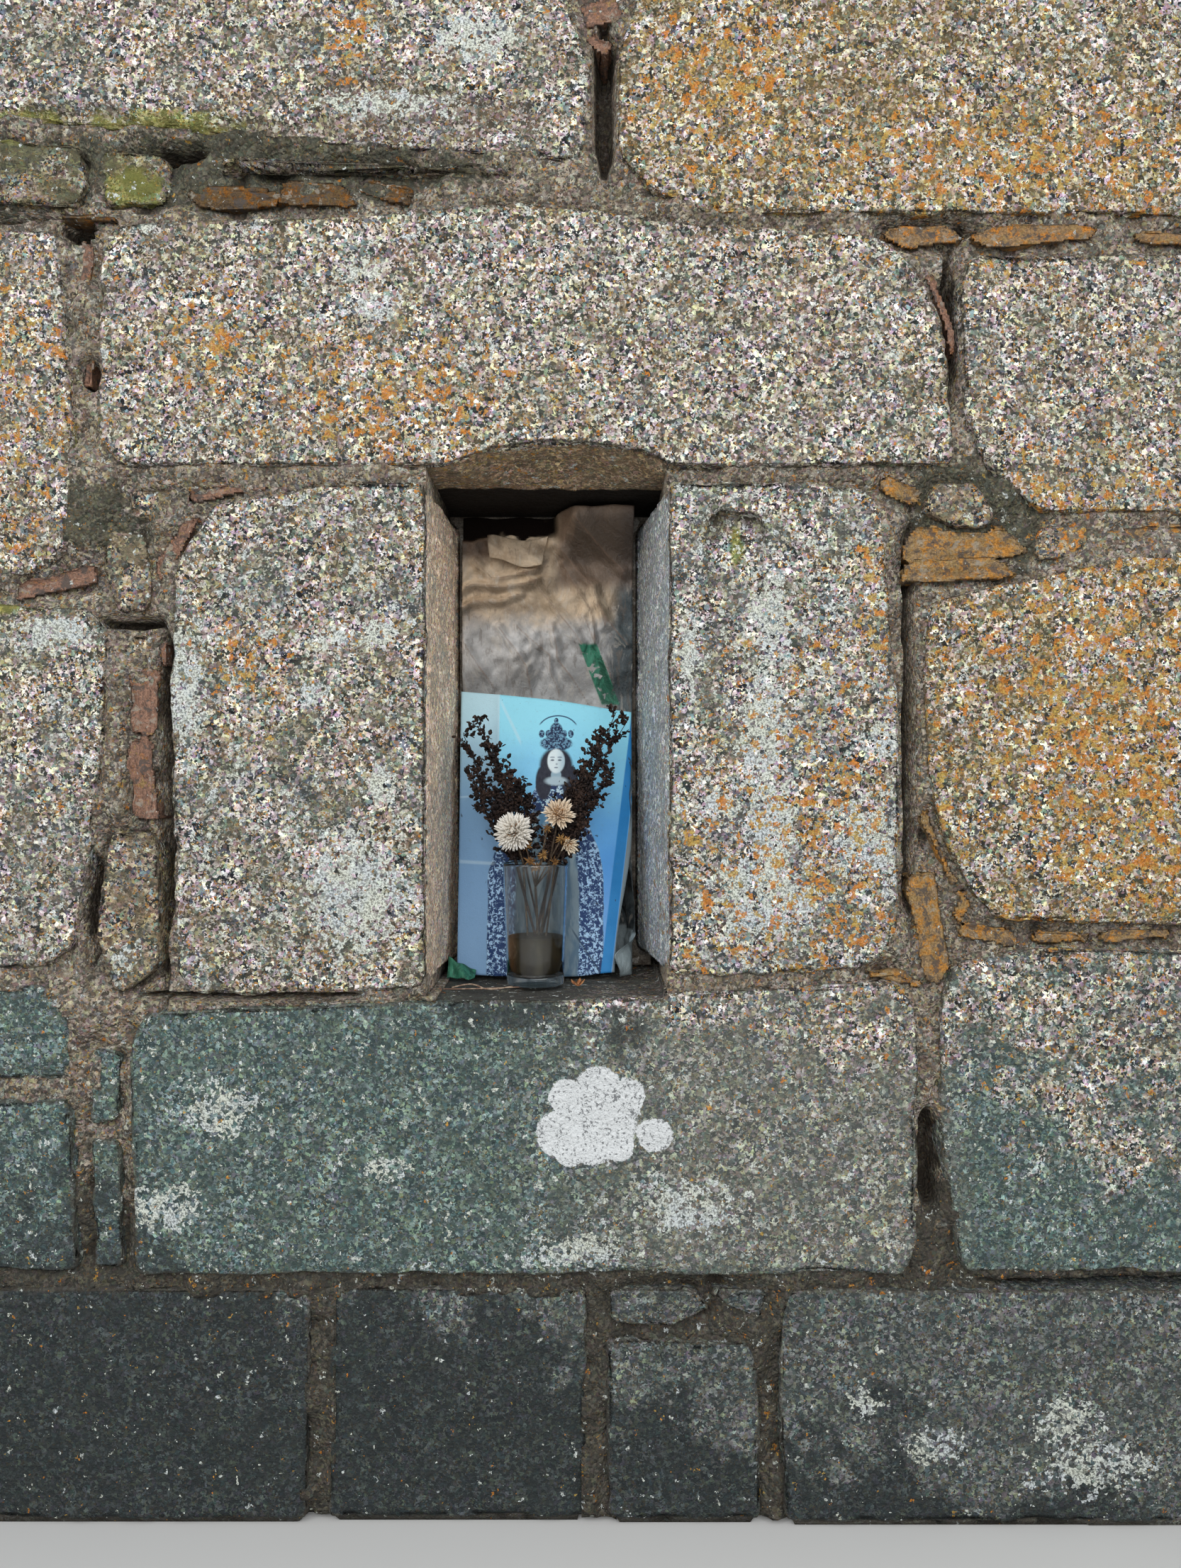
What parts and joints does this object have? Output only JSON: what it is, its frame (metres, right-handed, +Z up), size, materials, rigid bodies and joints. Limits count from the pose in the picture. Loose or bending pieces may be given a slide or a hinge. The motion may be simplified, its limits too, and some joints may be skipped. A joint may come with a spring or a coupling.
{
  "type": "wayside shrine",
  "caption": "Wayside shrine: a small rectangular niche framed by dressed granite in a coursed wall, holding a printed sheet, a crumpled bag and a tumbler of dried flowers.",
  "frame": {"origin": "on the ground, midway between the wall's two ends and its two faces, under the middle of the niche", "axes": "+X to the right along the wall as seen from the front, +Y into the wall from its front face, +Z up; the niche opens towards -Y"},
  "size_m": [1.6, 0.48, 1.53],
  "materials": {
    "granite_warm": "rough, coarse-grained, weathered",
    "granite_ochre": "rough, coarse-grained, ochre lichen",
    "granite_grey": "rough, coarse-grained, pale lichen",
    "granite_damp": "rough, darkened by algae",
    "packing_stone": "rough, earthy",
    "rusty_slate": "split, rust-stained",
    "brown_slate": "split, brown",
    "mortar": "earthy, crumbling",
    "rubble_core": "rubble in earth mortar",
    "bag_film": "crumpled film, dusty",
    "printed_paper": "faded blue print",
    "clear_glass": "clear, dusty",
    "dry_leaf": "dried, dark brown",
    "white_petal": "dried, matt",
    "cream_petal": "dried, matt",
    "seed_head": "dried, matt"
  },
  "bodies": {
    "root": {"top_left_block": "granite_warm", "top_right_block": "granite_ochre", "lintel_left_block": "granite_warm", "lintel": "granite_warm", "lintel_right_block": "granite_warm", "jamb_left_block": "granite_grey", "left_jamb": "granite_grey", "right_jamb": "granite_grey", "jamb_right_block": "granite_ochre", "sill_left_upper_block": "granite_damp", "sill_left_lower_block": "granite_damp", "sill": "granite_damp", "sill_right_block": "granite_damp", "foot_left_block": "granite_damp", "foot_mid_left_block": "granite_damp", "foot_middle_block": "granite_damp", "foot_right_block": "granite_damp", "levelling_stones": "packing_stone", "left_packing_stones": "packing_stone", "right_packing_stone": "packing_stone", "lintel_end_stone": "granite_warm", "sill_packing_stones": "packing_stone", "foot_packing_stones": "packing_stone", "top_bed_slates": "rusty_slate", "lintel_joint_slates": "brown_slate", "left_jamb_slates": "brown_slate", "right_bed_slates": "rusty_slate", "right_jamb_slates": "rusty_slate", "front_mortar": "mortar", "hearting": "rubble_core", "rear_mortar": "mortar", "rear_foot_course": "granite_damp", "rear_sill_course": "granite_damp", "rear_lower_jamb_course": "granite_grey", "rear_upper_jamb_course": "granite_grey", "rear_lintel_course": "granite_warm", "rear_top_course": "granite_warm", "crumpled_bag": "bag_film", "printed_sheet": "printed_paper", "glass_tumbler": "clear_glass", "left_spray": "dry_leaf", "right_spray": "dry_leaf", "white_flower": "white_petal", "cream_flower": "cream_petal", "small_flower": "cream_petal", "seed_heads": "seed_head"}
  },
  "joints": []
}
